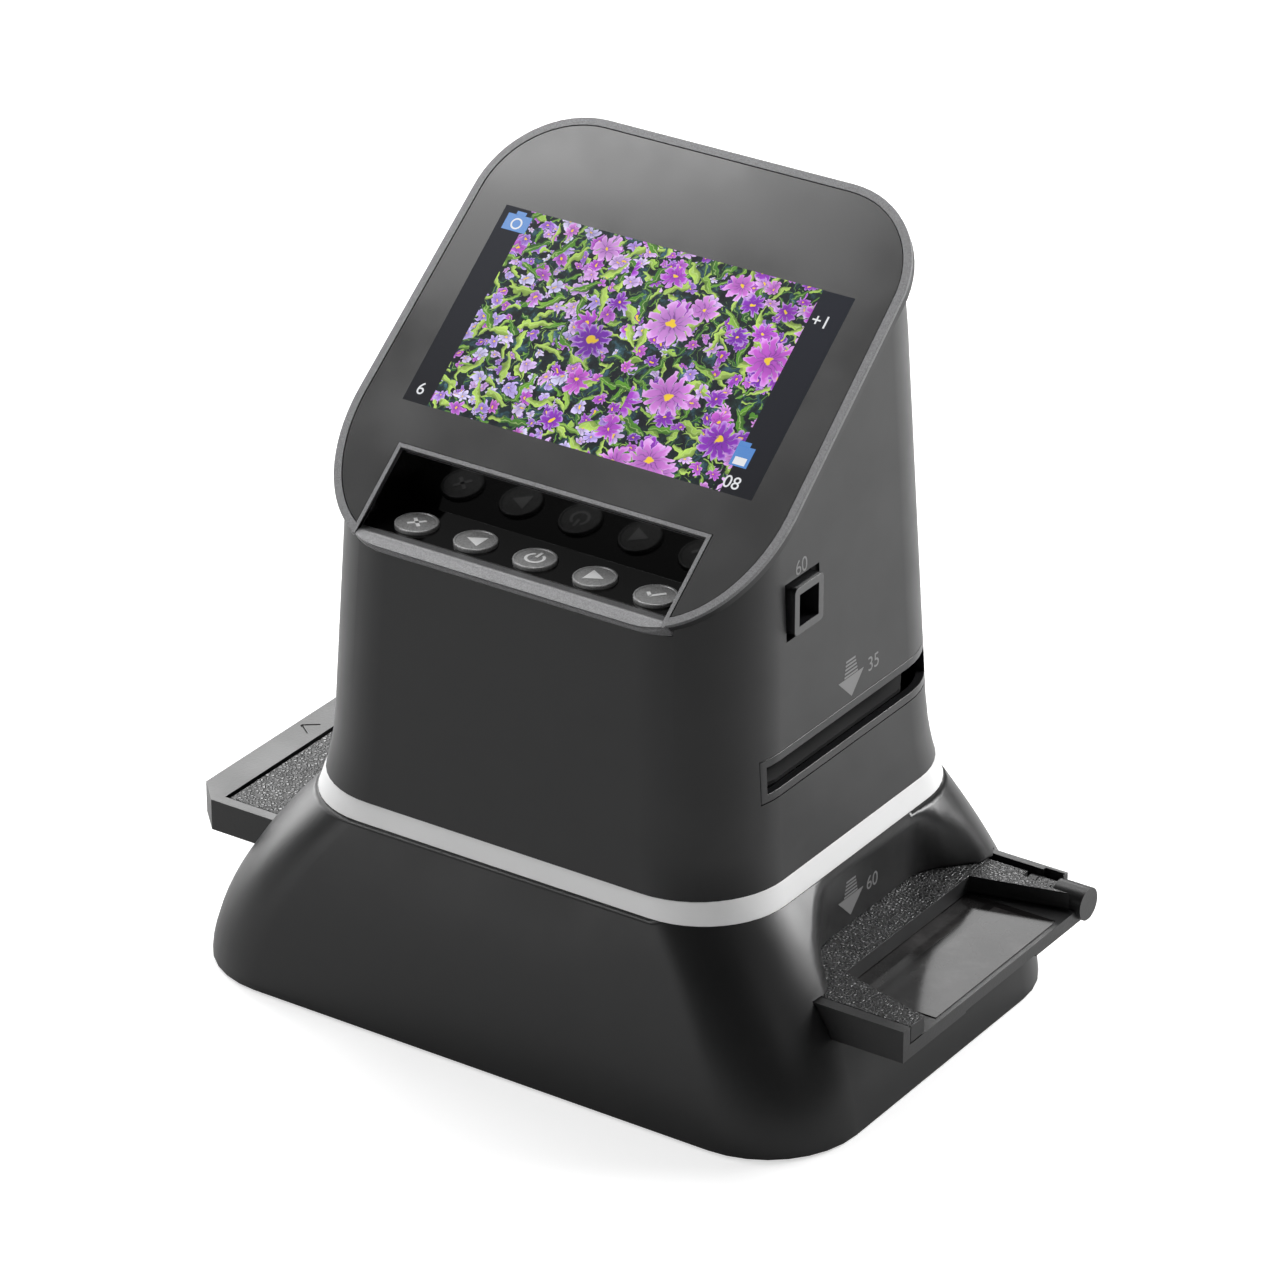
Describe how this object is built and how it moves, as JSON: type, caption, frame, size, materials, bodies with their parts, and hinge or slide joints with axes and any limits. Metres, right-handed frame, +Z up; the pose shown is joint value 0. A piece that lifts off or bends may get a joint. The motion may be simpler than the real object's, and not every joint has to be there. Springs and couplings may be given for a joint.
{
  "type": "film negative scanner",
  "caption": "Desktop film negative scanner with a tilted screen, push buttons, film slots through the tower and base, and a sliding film holder.",
  "frame": {"origin": "on the floor under the middle of the base's outline, at rest", "axes": "+X to the object's right side (the film's feed direction), +Y to its back, +Z up; the screen faces -Y and up"},
  "size_m": [0.2348, 0.142, 0.2236],
  "materials": {
    "shell_black": "satin",
    "inner_black": "matte",
    "rubber": "matte",
    "steel": "satin",
    "ring_white": "frosted",
    "circuit_green": "matte",
    "slot_black": "satin",
    "bezel_grey": "satin, fine flake",
    "screen_glass": "gloss",
    "display": "gloss",
    "brass": "satin",
    "deck_gloss": "gloss",
    "button_grey": "satin",
    "selector_black": "satin",
    "barrel_black": "matte",
    "lens_glass": "clear",
    "well_white": "matte",
    "diffuser_white": "frosted",
    "led_white": "matte",
    "holder_black": "satin",
    "holder_grain": "coarse grain",
    "film": "gloss"
  },
  "bodies": {
    "housing": {"base_shell": "shell_black", "bottom_cover": "inner_black", "rubber_feet": "rubber", "bottom_screw_set": "steel", "tower_screw_set": "steel", "light_ring": "ring_white", "ring_led_strips": "circuit_green", "slot_frame_right": "slot_black", "slot_frame_left": "slot_black", "tower_shell": "shell_black", "bezel": "bezel_grey", "front_glass": "screen_glass", "display_module": "display", "standoffs": "brass", "main_board": "circuit_green", "button_deck": "deck_gloss", "button_board": "circuit_green", "selector_guides": "inner_black", "guide_rods": "steel", "camera_frame": "inner_black", "sensor_board": "circuit_green", "channel_135": "inner_black", "io_board": "circuit_green", "card_socket": "steel", "power_inlet": "steel", "light_well": "well_white", "channel_120": "inner_black", "backlight_box": "well_white", "diffuser": "diffuser_white", "led_board": "led_white"},
    "button_clear": {"button_clear": "button_grey"},
    "button_left": {"button_left": "button_grey"},
    "button_power": {"button_power": "button_grey"},
    "button_right": {"button_right": "button_grey"},
    "button_ok": {"button_ok": "button_grey"},
    "selector": {"selector": "selector_black"},
    "lens": {"lens_carriage": "inner_black", "lens_barrel": "barrel_black", "lens_glass": "lens_glass"},
    "holder": {"holder_tray": "holder_black", "holder_cover": "holder_grain", "hinge_pins": "steel", "film_strip": "film"}
  },
  "joints": [
    {"name": "clear_press", "type": "slide", "parent": "housing", "child": "button_clear", "axis": [0, 0, -1], "range_m": [0, 0.0008], "stiffness_N_per_m": 400, "springref_m": -0.001},
    {"name": "left_press", "type": "slide", "parent": "housing", "child": "button_left", "axis": [0, 0, -1], "range_m": [0, 0.0008], "stiffness_N_per_m": 400, "springref_m": -0.001},
    {"name": "power_press", "type": "slide", "parent": "housing", "child": "button_power", "axis": [0, 0, -1], "range_m": [0, 0.0008], "stiffness_N_per_m": 400, "springref_m": -0.001},
    {"name": "right_press", "type": "slide", "parent": "housing", "child": "button_right", "axis": [0, 0, -1], "range_m": [0, 0.0008], "stiffness_N_per_m": 400, "springref_m": -0.001},
    {"name": "ok_press", "type": "slide", "parent": "housing", "child": "button_ok", "axis": [0, 0, -1], "range_m": [0, 0.0008], "stiffness_N_per_m": 400, "springref_m": -0.001},
    {"name": "selector_slide", "type": "slide", "parent": "housing", "child": "selector", "axis": [1, 0, 0], "range_m": [0, 0.008]},
    {"name": "lens_lift", "type": "slide", "parent": "housing", "child": "lens", "axis": [0, 0, 1], "range_m": [0, 0.008]},
    {"name": "holder_feed", "type": "slide", "parent": "housing", "child": "holder", "axis": [1, 0, 0], "range_m": [-0.06, 0.06]}
  ],
  "couplings": [
    {"joint": "lens_lift", "follows": "selector_slide", "ratio": 1}
  ]
}
